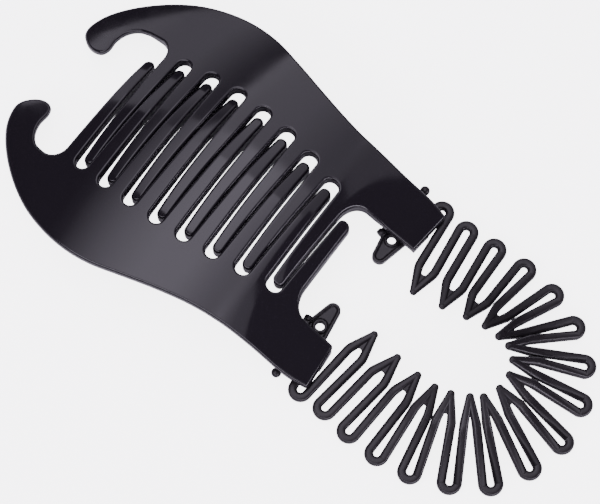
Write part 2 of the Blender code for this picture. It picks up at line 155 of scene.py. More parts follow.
for name, x_from, x_to, y_from, y_to, height, brightness in PANELS:
    panel_mesh = bpy.data.meshes.new(name)
    corners = [(x_from, y_from, height), (x_from, y_to, height), (x_to, y_to, height),
               (x_to, y_from, height)]
    panel_mesh.from_pydata([Vector(corner) * MM for corner in corners], [], [(0, 1, 2, 3)])
    panel_mesh.materials.append(panel_light(name, brightness))
    panel = bpy.data.objects.new(name, panel_mesh)
    bpy.context.scene.collection.objects.link(panel)

world = bpy.data.worlds.new("dim studio room")
world.use_nodes = True
world.node_tree.nodes["Background"].inputs["Color"].default_value = linear(ROOM_DARK)
bpy.context.scene.world = world

camera_data = bpy.data.cameras.new("camera")
camera_data.sensor_fit = "HORIZONTAL"
camera_data.sensor_width = SENSOR_WIDTH
camera_data.lens = CAMERA_LENS
camera_data.clip_start = 0.01
camera = bpy.data.objects.new("camera", camera_data)
bpy.context.scene.collection.objects.link(camera)
camera.location = Vector(CAMERA_PLACE) * MM
sight = (Vector(CAMERA_TARGET) - Vector(CAMERA_PLACE)).normalized()
camera.rotation_euler = sight.to_track_quat("-Z", "Y").to_euler()
bpy.context.scene.camera = camera

# Comb halves
# Two mirror-like plates of black acrylic, each injection moulded in one shot with its hook, its teeth
# and its tab. The polished mould leaves a gloss, a round lip round every edge and slight sink waves.
ARCH_TOP = 19.65
ARCH_TOP_X = -27.5
ARCH_RADIUS = 122.0
NECK_START_X = -3.0
NECK_END_X = 19.0
TAB_END_X = 26.9
TAB_END_HEIGHT = 3.85
TAB_SLOPE = 0.30
FLATTEN_START_X = -6.0
FLATTEN_END_X = 17.0
PLATE_SIDE_RADIUS = 183.0
TOOTH_SIDE_RADIUS = 51.0
PLATE_THICKNESS = 2.5
PLATE_RISE = 0.2
TOP_LIP = 0.75
UNDER_LIP = 0.35
DEEP_X = (-76.0, -68.0, 9.0, 16.5)
DEEP_OUT = (23.0, 30.0)
DEEP_SHARE = 1.4
TOOTH_PITCH = 9.37
TOOTH_WIDTH_AT_MIDDLE = 4.0
TOOTH_TAPER = 0.036
TIP_GAP = 2.7
FIRST_TIP_REACH = 16.6
LAST_TIP_REACH = 11.4
SPINE_EDGE = (
    # (along the clip, out from the middle)
    (26.9, 32.2),
    (20.0, 33.3),
    (8.7, 33.4),
    (-3.0, 33.9),
    (-12.0, 35.1),
    (-22.0, 37.4),
    (-32.0, 40.1),
    (-42.0, 42.6),
    (-51.0, 43.3),
    (-60.0, 42.3),
    (-69.0, 39.7),
    (-77.5, 35.3),
    (-85.5, 29.3),
    (-91.2, 23.0),
    (-93.5, 17.3),
)
HOOK_END = (
    # (along the clip, out from the middle)
    (-92.8, 14.0),
    (-89.6, 11.5),
    (-86.2, 10.5),
    (-83.3, 11.1),
    (-82.2, 13.4),
    (-82.5, 17.1),
    (-81.3, 20.6),
    (-78.6, 22.9),
    (-75.0, 23.7),
)
THROAT_CORNER_LENGTH = 4.8
THROAT_CORNER_DEPTH = 5.0
NECK_CORNER_LENGTH = 5.0
NECK_CORNER_START = 10.5
NECK_EDGE = 17.8
TAB_INNER_CORNER = (25.6, 18.2)
TAB_CORNER_RADIUS = 0.9
HALF_SHIFT = 0.4
PLATE_SHIFT = 0.58
FULLER_SPINE_START_X = 8.7
FULLER_SPINE_RUN = 20.7
SPINE_STEPS = 16
ROUND_END_STEPS = 16
QUARTER_TURN_POINTS = 13
CORNER_POINTS = 7
TOP_LIP_TURNS = np.radians(np.arange(0, 91, 15))
UNDER_LIP_TURNS = np.radians(np.arange(90, 181, 30))
SHORTEST_SIDE = 0.02
EDGE_SPACING = 0.5
FACE_SPACING = 1.0
GRID_CLEARANCE = 0.35
MERGE_DISTANCE = 1e-6
NUDGE = 0.01
MOULD_DRAW = (0.0, 0.0, 1.0)
Half = namedtuple("Half", "name body side first_tooth teeth slot_depth deepest_slot slot_arc fuller_spine")
HALVES = (
    Half("comb_half_left", "left_half", -1, -67.1, 9, 23.6, -41.0, 185.0, 0.0),
    Half("comb_half_right", "right_half", 1, -63.3, 8, 23.3, -39.0, 125.0, 0.4),
)


def eased(share):
    """The share, kept between 0 and 1, with a gentle start and end."""
    t = np.clip(share, 0, 1)
    return t * t * (3 - 2 * t)


def crown_height(x):
    """Height of the middle of the plate along the middle line of the clip."""
    arch = ARCH_TOP - (np.minimum(x, NECK_START_X) - ARCH_TOP_X) ** 2 / (2 * ARCH_RADIUS)
    length = NECK_END_X - NECK_START_X
    t = np.clip((x - NECK_START_X) / length, 0, 1)
    slope = -(NECK_START_X - ARCH_TOP_X) / ARCH_RADIUS
    neck_end = TAB_END_HEIGHT + TAB_SLOPE * (TAB_END_X - NECK_END_X)
    neck = ((2 * t ** 3 - 3 * t ** 2 + 1) * arch + (t ** 3 - 2 * t ** 2 + t) * length * slope
            + (3 * t ** 2 - 2 * t ** 3) * neck_end - (t ** 3 - t ** 2) * length * TAB_SLOPE)
    tab = TAB_END_HEIGHT + TAB_SLOPE * (TAB_END_X - x)
    return np.where(x <= NECK_START_X, arch, np.where(x >= NECK_END_X, tab, neck))


def plate_height(x, out):
    """Height of the middle of a half, out from the middle line on its own side."""
    bend = 1 - eased((x - FLATTEN_START_X) / (FLATTEN_END_X - FLATTEN_START_X))
    radius = np.where(out > 0, PLATE_SIDE_RADIUS, TOOTH_SIDE_RADIUS)
    return crown_height(x) - bend * out * out / (2 * radius)


def smooth_through(points, steps):
    """Points on a smooth curve that passes through every given point."""
    ends = [points[0]] + list(points) + [points[-1]]
    curve = []
    for before, start, end, after in zip(ends, ends[1:], ends[2:], ends[3:]):
        for t in np.arange(steps) / steps:
            curve.append(tuple(
                0.5 * (2 * b + (c - a) * t + (2 * a - 5 * b + 4 * c - d) * t * t
                       + (3 * b - a - 3 * c + d) * t ** 3)
                for a, b, c, d in zip(before, start, end, after)))
    curve.append(points[-1])
    return curve


def arc(centre, radius, start, end, steps):
    """Points on a circle's arc; the angles are in radians."""
    return [(centre[0] + radius * math.cos(angle), centre[1] + radius * math.sin(angle))
            for angle in np.linspace(start, end, steps + 1)]


def quarter_turn(start, end, along_first):
    """Points on a quarter ellipse from start to end, leaving along X first or across first."""
    points = []
    for angle in np.linspace(0, math.pi / 2, QUARTER_TURN_POINTS):
        blend = (math.sin(angle), 1 - math.cos(angle))
        if not along_first:
            blend = blend[::-1]
        points.append((start[0] + (end[0] - start[0]) * blend[0],
                       start[1] + (end[1] - start[1]) * blend[1]))
    return points


def rounded_corner(before, corner, after, radius):
    """The arc that rounds one corner, with both of its straight sides left tangent."""
    corner = Vector(corner)
    back = (Vector(before) - corner).normalized()
    ahead = (Vector(after) - corner).normalized()
    half_angle = back.angle(ahead) / 2
    cut = radius / math.tan(half_angle)
    centre = corner + (back + ahead).normalized() * radius / math.sin(half_angle)
    first = corner + back * cut - centre
    last = corner + ahead * cut - centre
    turn = first.angle_signed(last)
    points = []
    for share in np.linspace(0, 1, CORNER_POINTS):
        angle = -turn * share
        points.append((centre.x + first.x * math.cos(angle) - first.y * math.sin(angle),
                       centre.y + first.x * math.sin(angle) + first.y * math.cos(angle)))
    return points


def tooth_half_width(out):
    """Half the width of a tooth at a distance out from the middle line of the clip."""
    return (TOOTH_WIDTH_AT_MIDDLE + TOOTH_TAPER * out) / 2


def slot_end(x, half):
    """Where a slot at x ends: the ends of all slots lie on a flat arc."""
    return half.slot_depth - (x - half.deepest_slot) ** 2 / (2 * half.slot_arc)


def comb_outline(half, other):
    """Outline of one half in millimetres, from the tab round the spine, hook and teeth."""
    count = half.teeth
    fuller = []
    for x, out in SPINE_EDGE:
        share = min(1.0, max(0.0, (FULLER_SPINE_START_X - x) / FULLER_SPINE_RUN))
        fuller.append((x, out + half.fuller_spine * share))
    spine = smooth_through(fuller + list(HOOK_END), SPINE_STEPS)
    teeth = [half.first_tooth + TOOTH_PITCH * i for i in range(count)]
    throat_depth = HOOK_END[-1][1]
    root = throat_depth - THROAT_CORNER_DEPTH
    edge = (teeth[0] - tooth_half_width(root), root)
    outline = rounded_corner(TAB_INNER_CORNER, spine[0], spine[SPINE_STEPS], TAB_CORNER_RADIUS)
    outline += spine[SPINE_STEPS // 2:]
    outline += quarter_turn((edge[0] - THROAT_CORNER_LENGTH, throat_depth), edge, True)
    for i, x in enumerate(teeth):
        reach = slot_end(x, other) - TIP_GAP
        if count > other.teeth and i == 0:
            reach = FIRST_TIP_REACH
        if count > other.teeth and i == count - 1:
            reach = LAST_TIP_REACH
        radius = tooth_half_width(-reach)
        outline += arc((x, radius - reach), radius, math.pi, 2 * math.pi, ROUND_END_STEPS)
        if i < count - 1:
            middle = x + TOOTH_PITCH / 2
            deep = slot_end(middle, half)
            radius = TOOTH_PITCH / 2 - tooth_half_width(deep)
            outline += arc((middle, deep - radius), radius, math.pi, 0, ROUND_END_STEPS)
    neck = (teeth[-1] + tooth_half_width(NECK_CORNER_START), NECK_CORNER_START)
    inner = (neck[0] + NECK_CORNER_LENGTH, NECK_EDGE)
    outline += quarter_turn(neck, inner, False)
    outline += rounded_corner(inner, TAB_INNER_CORNER, spine[0], TAB_CORNER_RADIUS)
    return outline


def spaced(loop, spacing):
    """The closed loop with long sides cut into short ones and doubled points left out."""
    points = []
    for start, end in zip(loop, loop[1:] + loop[:1]):
        length = math.dist(start, end)
        if length < SHORTEST_SIDE:
            continue
        cuts = max(1, math.ceil(length / spacing))
        points += [(start[0] + (end[0] - start[0]) * i / cuts, start[1] + (end[1] - start[1]) * i / cuts)
                   for i in range(cuts)]
    return np.array(points)


def outward(loop):
    """Unit vectors that point out of the material at every point of a loop round it."""
    ahead = np.roll(loop, -1, 0) - loop
    ahead /= np.linalg.norm(ahead, axis=1)[:, None]
    along = ahead + np.roll(ahead, 1, 0)
    along /= np.linalg.norm(along, axis=1)[:, None]
    return np.stack([along[:, 1], -along[:, 0]], 1)


def signed_area(loop):
    """Area inside a loop, which is positive where the loop runs anticlockwise."""
    after = np.roll(loop, -1, 0)
    return 0.5 * float(np.sum(loop[:, 0] * after[:, 1] - after[:, 0] * loop[:, 1]))


def within(points, loops):
    """Which flat points lie inside the first loop and outside the others, by crossings to one side."""
    inside = np.zeros(len(points), bool)
    for loop in loops:
        for start, end in zip(loop, np.roll(loop, -1, 0)):
            if start[1] == end[1]:
                continue
            level = (start[1] > points[:, 1]) != (end[1] > points[:, 1])
            reach = start[0] + (end[0] - start[0]) * (points[:, 1] - start[1]) / (end[1] - start[1])
            inside ^= level & (points[:, 0] < reach)
    return inside


def edge_gap(places, edge):
    """Distance from each flat place to the nearest point of the edge."""
    return np.array([np.min(np.sum((edge - place) ** 2, 1)) for place in places]) ** 0.5


def lip_rings(thickness, top_lip, under_lip):
    """Inset, height and tilt of the rings that run round an edge, from the flat top to the underside."""
    half = thickness / 2
    rings = [(top_lip * (1 - math.sin(turn)), half - top_lip * (1 - math.cos(turn)), turn)
             for turn in TOP_LIP_TURNS]
    rings += [(under_lip * (1 - math.sin(turn)), -half + under_lip * (1 + math.cos(turn)), turn)
              for turn in UNDER_LIP_TURNS]
    return rings


def filled(rings, grid):
    """Triangles that fill the first ring less the others, by way of the grid's points.

    Returns the places that the grid adds and the triangles, whose corners count the rings' points
    first and then the added ones.
    """
    border = np.concatenate(rings)
    sides, start = [], 0
    for ring in rings:
        sides += [(start + i, start + (i + 1) % len(ring)) for i in range(len(ring))]
        start += len(ring)
    corners = [Vector(place) for place in np.concatenate([border, grid])]
    result = delaunay_2d_cdt(corners, sides, [], 0, MERGE_DISTANCE)
    places, made, origins = np.array([tuple(place) for place in result[0]]), result[2], result[3]
    number = {index: came_from[0] for index, came_from in enumerate(origins)
              if came_from and came_from[0] < len(border)}
    middles = np.array([places[list(triangle)].mean(0) for triangle in made])
    added, triangles = [], []
    for triangle, inside in zip(made, within(middles, rings)):
        if not inside:
            continue
        for corner in triangle:
            if corner not in number:
                number[corner] = len(border) + len(added)
                added.append(places[corner])
        triangles.append([number[corner] for corner in triangle])
    return np.array(added).reshape(-1, 2), triangles


def moulded_plate(loops, thickness, top_lip, under_lip, spacing, place, reshape=None, draw=None):
    """A plate with round lips, as arrays of points, faces and point normals.

    The first loop is the outside and the others are holes. place gives the 3-D point and the normal of
    the plate's middle surface for flat places. reshape gives the new heights above that surface, from
    the flat places, the heights and the distances to the edge. The walls run along draw, the way the
    mould opens, or else square to the surface.
    """
    loops = [loop if (signed_area(loop) > 0) == (i == 0) else loop[::-1] for i, loop in enumerate(loops)]
    rings = lip_rings(thickness, top_lip, under_lip)
    flat, level, tilt, out_dir, faces = [], [], [], [], []
    top_rings, under_rings = [], []
    first = 0
    for loop in loops:
        count = len(loop)
        ways = outward(loop)
        for inset, height, turn in rings:
            flat.append(loop - ways * inset)
            level.append(np.full(count, height))
            tilt.append(np.full(count, turn))
            out_dir.append(ways)
        last = first + (len(rings) - 1) * count
        faces += [(ring + i, ring + i + count, ring + (i + 1) % count + count, ring + (i + 1) % count)
                  for ring in range(first, last, count) for i in range(count)]
        top_rings.append(range(first, first + count))
        under_rings.append(range(last, last + count))
        first = last + count
    edge = np.concatenate(loops)
    low, high = edge.min(0), edge.max(0)
    grid = np.meshgrid(np.arange(low[0], high[0], spacing), np.arange(low[1], high[1], spacing))
    grid = np.stack(grid, -1).reshape(-1, 2)
    clear = top_lip + spacing * GRID_CLEARANCE
    grid = grid[(edge_gap(grid, edge) > clear) & within(grid, loops)]
    ring_places = np.concatenate(flat)
    for way, borders in ((1, top_rings), (-1, under_rings)):
        added, triangles = filled([ring_places[list(ring)] for ring in borders], grid)
        number = [index for ring in borders for index in ring] + list(range(first, first + len(added)))
        rows = [tuple(number[corner] for corner in triangle) for triangle in triangles]
        faces += rows if way > 0 else [row[::-1] for row in rows]
        flat.append(added)
        level.append(np.full(len(added), thickness / 2 * way))
        tilt.append(np.full(len(added), 0.0 if way > 0 else math.pi))
        out_dir.append(np.tile([1.0, 0.0], (len(added), 1)))
        first += len(added)
    flat, level, tilt, out_dir = (np.concatenate(rows) for rows in (flat, level, tilt, out_dir))
    points, normals = place(flat)
    rise = normals if draw is None else np.tile(np.array(draw), (len(flat), 1))
    if reshape:
        plain = level
        level = reshape(flat, plain, edge_gap(flat, edge))
        # The lean that a slope gives to the normals is taken the other way round below the middle
        lean = np.where(np.cos(tilt) >= 0, 1, -1)
        leaning = normals
        for step in np.eye(2) * NUDGE:
            moved = flat + step
            climb = (reshape(moved, plain, edge_gap(moved, edge)) - level) / NUDGE
            leaning = leaning - (place(moved)[0] - points) / NUDGE * (climb * lean)[:, None]
        normals = leaning / np.linalg.norm(leaning, axis=1)[:, None]
    ahead = place(flat + out_dir * NUDGE)[0] - points
    ahead -= rise * np.sum(ahead * rise, 1)[:, None]
    ahead /= np.linalg.norm(ahead, axis=1)[:, None]
    facing = normals * np.cos(tilt)[:, None] + ahead * np.sin(tilt)[:, None]
    return points + rise * level[:, None], faces, facing


def deep_underside(flat, level, gap):
    """The underside hangs lower under the teeth and the neck than under the spine, hooks and tab."""
    start, full, fall, end = DEEP_X
    x, out = flat[:, 0], flat[:, 1]
    t = np.clip((x - start) / (full - start), 0, 1) * np.clip((end - x) / (end - fall), 0, 1)
    t = t * np.clip((DEEP_OUT[1] - out) / (DEEP_OUT[1] - DEEP_OUT[0]), 0, 1)
    return np.where(level < 0, level * (1 + DEEP_SHARE * eased(t)), level)


def comb_place(side):
    """How a flat half lies in the closed clip: its bent middle surface and the normals there."""
    def place(flat):
        x, out = flat[:, 0], flat[:, 1]
        slope_x = (plate_height(x + NUDGE, out) - plate_height(x - NUDGE, out)) / (2 * NUDGE)
        slope_out = (plate_height(x, out + NUDGE) - plate_height(x, out - NUDGE)) / (2 * NUDGE)
        points = np.stack([x + side * PLATE_SHIFT, side * out, plate_height(x, out) + PLATE_RISE], 1)
        normals = np.stack([-slope_x, -side * slope_out, np.ones(len(x))], 1)
        normals /= np.linalg.norm(normals, axis=1)[:, None]
        return points, normals
    return place


def finished_mesh(name, parts, material):
    """One mesh from (points, faces, point normals) parts in millimetres, with its faces turned out."""
    points, faces, facing = [], [], []
    for part_points, part_faces, part_normals in parts:
        start = sum(len(block) for block in points)
        corners = np.array(part_points)
        face = part_faces[0]
        normal = np.cross(corners[face[1]] - corners[face[0]], corners[face[2]] - corners[face[1]])
        flip = float(np.dot(normal, part_normals[face[0]])) < 0
        for face in part_faces:
            row = tuple(start + corner for corner in face)
            faces.append(row[::-1] if flip else row)
        points.append(corners)
        facing.append(np.array(part_normals))
    points, facing = np.concatenate(points) * MM, np.concatenate(facing)
    mesh = bpy.data.meshes.new(name)
    mesh.from_pydata(points.tolist(), [], faces)
    mesh.shade_smooth()
    mesh.normals_split_custom_set_from_vertices(facing.tolist())
    mesh.materials.append(material)
    return mesh


def black_acrylic():
    """Black acrylic from a polished mould: a deep gloss that waves a little where the plate sank in
    cooling, with faint handling haze. It gives the eye a black mirror with soft violet-grey reflections."""
    material, output = new_material("polished_black_acrylic_moulding")
    tree = material.node_tree
    place = add_node(tree, "ShaderNodeTexCoord")
    sink = add_node(tree, "ShaderNodeTexNoise", {"Scale": 45.0, "Detail": 1.0, "Roughness": 0.4},
                    {"Vector": place.outputs["Object"]})
    bump = add_node(tree, "ShaderNodeBump", {"Strength": 0.25, "Distance": 0.0004},
                    {"Height": sink.outputs["Fac"]})
    haze = add_node(tree, "ShaderNodeTexNoise", {"Scale": 160.0, "Detail": 5.0, "Roughness": 0.6},
                    {"Vector": place.outputs["Object"]})
    haze_range = add_node(tree, "ShaderNodeMapRange",
                          {"From Min": 0.3, "From Max": 0.75, "To Min": 0.06, "To Max": 0.13},
                          {"Value": haze.outputs["Fac"]})
    shader = add_node(tree, "ShaderNodeBsdfPrincipled",
                      {"Base Color": linear("#1e1b20"), "IOR": 1.49},
                      {"Roughness": haze_range.outputs["Result"], "Normal": bump.outputs["Normal"]})
    tree.links.new(shader.outputs["BSDF"], output.inputs["Surface"])
    return material


acrylic = black_acrylic()
for half, other in (HALVES, HALVES[::-1]):
    name, body, side = half[:3]
    outline = spaced(comb_outline(half, other), EDGE_SPACING)
    plate = moulded_plate([outline], PLATE_THICKNESS, TOP_LIP, UNDER_LIP, FACE_SPACING, comb_place(side),
                          deep_underside, MOULD_DRAW)
    mesh = finished_mesh(name + "_moulding", [plate], acrylic)
    piece = bpy.data.objects.new(name + "_moulding", mesh)
    bpy.context.scene.collection.objects.link(piece)
    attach(piece, body)
    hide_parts(name)

# Stretch band
# One black nylon moulding: a flat-sided wire folded to and fro, with a pointed tooth at every inner fold
# that has a thin web between its two raised rims, and a turned end pin that clips under each tab.
WIRE = 2.6
WIRE_EDGE_RADIUS = 0.95
BEND_RADIUS = 2.25
BEND_REACH = 3.0
BEND_POINTS = 17
TOOTH_OUTER_WIDTH = 7.6
SHOULDER_GAP = 0.1
SHOULDER_LENGTH = 8.8
WEB_LENGTH = 6.8
WEB_THICKNESS = 1.3
WEB_LIP = 0.35
WEB_END = 1.6
WEB_END_WIDTH = 0.6
WEB_SIDES_MEET = 1.2
WEB_EDGE_SPACING = 0.6
WEB_FACE_SPACING = 0.7
SLOT_ARC_TRIM = 0.05
SLOT_ARC_POINTS = 15
TIP_WIRE_SHARE = 0.72
TIP_BEND_RADIUS = 0.22
TIP_BEND_REACH = math.pi / 2 + 0.4
TIP_BEND_POINTS = 9
CORNER_CUT = 0.9
CORNER_LEAST_TURN = math.radians(12)
CORNER_LEAST_SIDE = 1.5
FOLDS = (
    # (bend along, bend across, tip along, tip across, tip height)
    (25.4, 36.6, 33.2, 7.9, 3.1),
    (34.1, 35.9, 42.7, 8.4, 7.0),
    (43.7, 36.5, 50.1, 9.1, 10.4),
    (54.4, 36.8, 55.9, 9.4, 13.0),
    (65.8, 35.3, 60.5, 8.8, 14.9),
    (76.9, 30.8, 64.1, 8.1, 16.2),
    (86.5, 22.6, 67.1, 5.7, 16.6),
    (92.4, 12.1, 68.8, 1.9, 16.9),
    (94.5, -0.9, 68.9, -2.5, 16.9),
    (91.4, -13.2, 66.9, -6.8, 16.9),
    (84.9, -24.2, 64.1, -8.6, 16.2),
    (74.8, -31.5, 59.6, -10.6, 14.9),
    (63.6, -36.1, 55.1, -11.2, 12.8),
    (52.6, -37.6, 49.3, -10.7, 10.2),
    (42.3, -37.2, 41.6, -9.3, 7.0),
    (32.9, -36.0, 32.0, -7.0, 3.3),
    (24.7, -36.0, 0.0, 0.0, 0.0),
)
HINGE_POINT = (15.7, 25.0)
HINGE_SPLAY = math.radians(6.9)
PIN_HEIGHT = 1.5
BAND_SLIDE = 1.4
END_TOOTH_LEG = (21.2, 19.6)
END_TOOTH_TIP = (18.5, 10.6)
END_TOOTH_TIP_RADIUS = 2.2
END_TOOTH_TIP_ARC = (-math.pi / 12, -math.pi * 11 / 12)
END_TOOTH_TIP_POINTS = 17
END_TOOTH_HOLE = (18.4, 16.5)
END_TOOTH_HOLE_RADIUS = 1.3
END_TOOTH_HOLE_STEPS = 28
END_TOOTH_ROOT = 20.1
END_TOOTH_LIP = 0.3
END_TOOTH_DISH = 0.7
END_TOOTH_RIM = 0.6
END_TOOTH_RIM_FALL = 0.6
END_TOOTH_EDGE_SPACING = 0.35
END_TOOTH_HOLE_SPACING = 0.3
END_TOOTH_FACE_SPACING = 0.2
TOP_TOLERANCE = 0.001
PIN_RADIUS = 1.1
PIN_CLEARANCE = 0.3
PIN_INNER_END = 15.7
COLLAR_RADIUS = 1.5
COLLAR_LENGTH = 1.6
COLLAR_ROUND = 0.3
COLLAR_ROUND_MIDDLE = 0.09
COLLAR_BEVEL = 0.15
PIN_STEP = 1.8
KNOB_RADIUS = 1.43
KNOB_START = 33.3
KNOB_ARC = (math.radians(50), math.radians(172))
KNOB_POINTS = 14
PIN_SIDES = 32
SHARP_ANGLE = math.radians(40)


def flat_unit(vector):
    """The level direction of a vector."""
    return Vector((vector.x, vector.y, 0.0)).normalized()


def tooth_frames():
    """Tip, direction, sideways direction and half width of each pointed tooth of the band."""
    frames = []
    for fold, after in zip(FOLDS[:-1], FOLDS[1:]):
        root = Vector(((fold[0] + after[0]) / 2, (fold[1] + after[1]) / 2, WIRE / 2))
        tip = Vector(fold[2:])
        direction = (tip - root).normalized()
        ahead = flat_unit(direction)
        sideways = Vector((-ahead.y, ahead.x, 0.0))
        if sideways.dot(Vector((after[0] - fold[0], after[1] - fold[1], 0.0))) < 0:
            sideways = -sideways
        frames.append([tip, direction, sideways])
    shoulders = [tip - direction * SHOULDER_LENGTH for tip, direction, sideways in frames]
    for i, entry in enumerate(frames):
        spans = [(shoulders[i] - shoulders[j]).length - SHOULDER_GAP for j in (i - 1, i + 1)
                 if 0 <= j < len(frames)]
        entry.append(min([TOOTH_OUTER_WIDTH] + spans) / 2)
    return frames


def wire_path(frames):
    """The middle line of the folded wire from one end tooth to the other, with its relative width."""
    path = [(Vector((END_TOOTH_LEG[0] + HALF_SHIFT, END_TOOTH_LEG[1], WIRE / 2)), 1.0)]
    for k, fold in enumerate(FOLDS):
        outer = Vector((fold[0], fold[1], WIRE / 2))
        if k < len(frames):
            tip, direction, sideways, half = frames[k]
            leave = tip - direction * SHOULDER_LENGTH - sideways * (half - WIRE / 2)
        else:
            leave = Vector((END_TOOTH_LEG[0] - HALF_SHIFT, -END_TOOTH_LEG[1], WIRE / 2))
        arrive = path[-1][0]
        inward = flat_unit((arrive + leave) / 2 - outer)
        across = Vector((-inward.y, inward.x, 0.0))
        if across.dot(leave - arrive) < 0:
            across = -across
        centre = outer + inward * BEND_REACH
        for angle in np.linspace(0, math.pi, BEND_POINTS):
            spoke = across * math.cos(angle) + inward * math.sin(angle)
            path.append((centre - spoke * BEND_RADIUS, 1.0))
        path.append((leave, 1.0))
        if k < len(frames):
            centre = tip - direction * (TIP_WIRE_SHARE * WIRE / 2 + TIP_BEND_RADIUS)
            for angle in np.linspace(-TIP_BEND_REACH, TIP_BEND_REACH, TIP_BEND_POINTS):
                spoke = sideways * math.sin(angle) + direction * math.cos(angle)
                path.append((centre + spoke * TIP_BEND_RADIUS, TIP_WIRE_SHARE))
            path.append((tip - direction * SHOULDER_LENGTH + sideways * (half - WIRE / 2), 1.0))
    return path


def softened(path):
    """The path with each hard corner cut back and rounded by a short curve."""
    done = [path[0]]
    for (before, _), (corner, share), (after, _) in zip(path, path[1:], path[2:]):
        back, ahead = before - corner, after - corner
        turn = math.pi - back.angle(ahead, math.pi)
        if turn < CORNER_LEAST_TURN or min(back.length, ahead.length) < CORNER_LEAST_SIDE:
            done.append((corner, share))
            continue
        start = corner + back.normalized() * CORNER_CUT
        end = corner + ahead.normalized() * CORNER_CUT
        for t in (0, 0.25, 0.5, 0.75, 1):
            done.append((start * (1 - t) ** 2 + corner * 2 * t * (1 - t) + end * t * t, share))
    done.append(path[-1])
    return done


def web_outline(half):
    """The thin web of one tooth with the round end of the slot cut into it, on the tooth's own axes."""
    inner = half - WIRE
    bottom = -WEB_LENGTH - inner
    reach = (half - WIRE / 2) * (bottom + WEB_SIDES_MEET) / (WEB_SIDES_MEET - SHOULDER_LENGTH)
    slot = [(bottom + inner * math.sin(angle), -inner * math.cos(angle))
            for angle in np.linspace(SLOT_ARC_TRIM, math.pi - SLOT_ARC_TRIM, SLOT_ARC_POINTS)]
    end = [(-WEB_END, WEB_END_WIDTH / 2), (-WEB_END, -WEB_END_WIDTH / 2)]
    return [(bottom, -reach)] + slot + [(bottom, reach)] + end


def web_place(tip, direction, sideways):
    """How a flat web lies between its tooth's two rims."""
    normal = direction.cross(sideways)
    if normal.z < 0:
        normal = -normal

    def place(flat):
        points = np.array(tip) + flat[:, :1] * np.array(direction) + flat[:, 1:] * np.array(sideways)
        return points, np.tile(np.array(normal), (len(flat), 1))
    return place


def table_place(flat):
    """A flat piece that lies with its middle half a wire above the table."""
    points = np.concatenate([flat, np.full((len(flat), 1), WIRE / 2)], 1)
    return points, np.tile([0.0, 0.0, 1.0], (len(flat), 1))


def pin_axis(side):
    """Direction of a hinge line, outwards."""
    return Vector((math.sin(HINGE_SPLAY), side * math.cos(HINGE_SPLAY), 0.0))


def pin_place(side):
    """Middle of a hinge line, inside the tab's barrel."""
    return Vector((HINGE_POINT[0] + side * HALF_SHIFT, side * HINGE_POINT[1], PIN_HEIGHT))


def end_tooth_loops(side):
    """Outline and hole of the short round tooth beside a hinge."""
    shift = side * HALF_SHIFT
    leg = (END_TOOTH_LEG[0] + shift, side * END_TOOTH_LEG[1])
    tip = (END_TOOTH_TIP[0] + shift, side * END_TOOTH_TIP[1] + BAND_SLIDE)
    hole = (END_TOOTH_HOLE[0] + shift, side * END_TOOTH_HOLE[1] + BAND_SLIDE)
    centre = pin_place(side)
    axis = pin_axis(side)
    start = centre + axis * (PIN_INNER_END + COLLAR_LENGTH + side * BAND_SLIDE - HINGE_POINT[1])
    end = centre + axis * (END_TOOTH_ROOT - HINGE_POINT[1])
    outline = [(leg[0] + WIRE / 2, side * END_TOOTH_ROOT)]
    outline += [(tip[0] + END_TOOTH_TIP_RADIUS * math.cos(angle),
                 tip[1] + side * END_TOOTH_TIP_RADIUS * math.sin(angle))
                for angle in np.linspace(*END_TOOTH_TIP_ARC, END_TOOTH_TIP_POINTS)]
    outline += [(start.x, start.y), (end.x, end.y)]
    return outline, arc(hole, END_TOOTH_HOLE_RADIUS, 0, 2 * math.pi, END_TOOTH_HOLE_STEPS)[:-1]


def end_tooth_dish(flat, level, gap):
    """The top of an end tooth lies below its raised rim."""
    fall = END_TOOTH_DISH * eased((gap - END_TOOTH_RIM) / END_TOOTH_RIM_FALL)
    return np.where(level > WIRE / 2 - TOP_TOLERANCE, level - fall, level)


def hinge_pin(side):
    """Collar, pin and ball-shaped knob turned about the hinge line, as points and faces."""
    start = PIN_INNER_END + side * BAND_SLIDE - HINGE_POINT[1]
    knob = KNOB_START + side * BAND_SLIDE - HINGE_POINT[1]
    profile = [(0.0, start), (COLLAR_RADIUS - COLLAR_ROUND, start),
               (COLLAR_RADIUS - COLLAR_ROUND_MIDDLE, start + COLLAR_ROUND_MIDDLE),
               (COLLAR_RADIUS, start + COLLAR_ROUND),
               (COLLAR_RADIUS, start + COLLAR_LENGTH - COLLAR_BEVEL),
               (COLLAR_RADIUS - COLLAR_BEVEL, start + COLLAR_LENGTH),
               (PIN_RADIUS, start + PIN_STEP), (PIN_RADIUS, knob)]
    profile += [(KNOB_RADIUS * math.sin(angle), knob + KNOB_RADIUS * (1 - math.cos(angle)))
                for angle in np.linspace(*KNOB_ARC, KNOB_POINTS)]
    profile.append((0.0, knob + 2 * KNOB_RADIUS))
    centre, axis = pin_place(side), pin_axis(side)
    across = axis.cross(Vector((0, 0, 1)))
    points, rings = [], []
    for radius, distance in profile:
        turns = np.linspace(0, 2 * math.pi, PIN_SIDES, endpoint=False) if radius else [0.0]
        rings.append(list(range(len(points), len(points) + len(turns))))
        points += [centre + axis * distance + across * radius * math.cos(turn)
                   + Vector((0, 0, 1)) * radius * math.sin(turn) for turn in turns]
    faces = []
    for near, far in zip(rings, rings[1:]):
        for i in range(PIN_SIDES):
            corners = [near[i % len(near)], near[(i + 1) % len(near)],
                       far[(i + 1) % len(far)], far[i % len(far)]]
            faces.append(tuple(dict.fromkeys(corners)))
    return points, faces


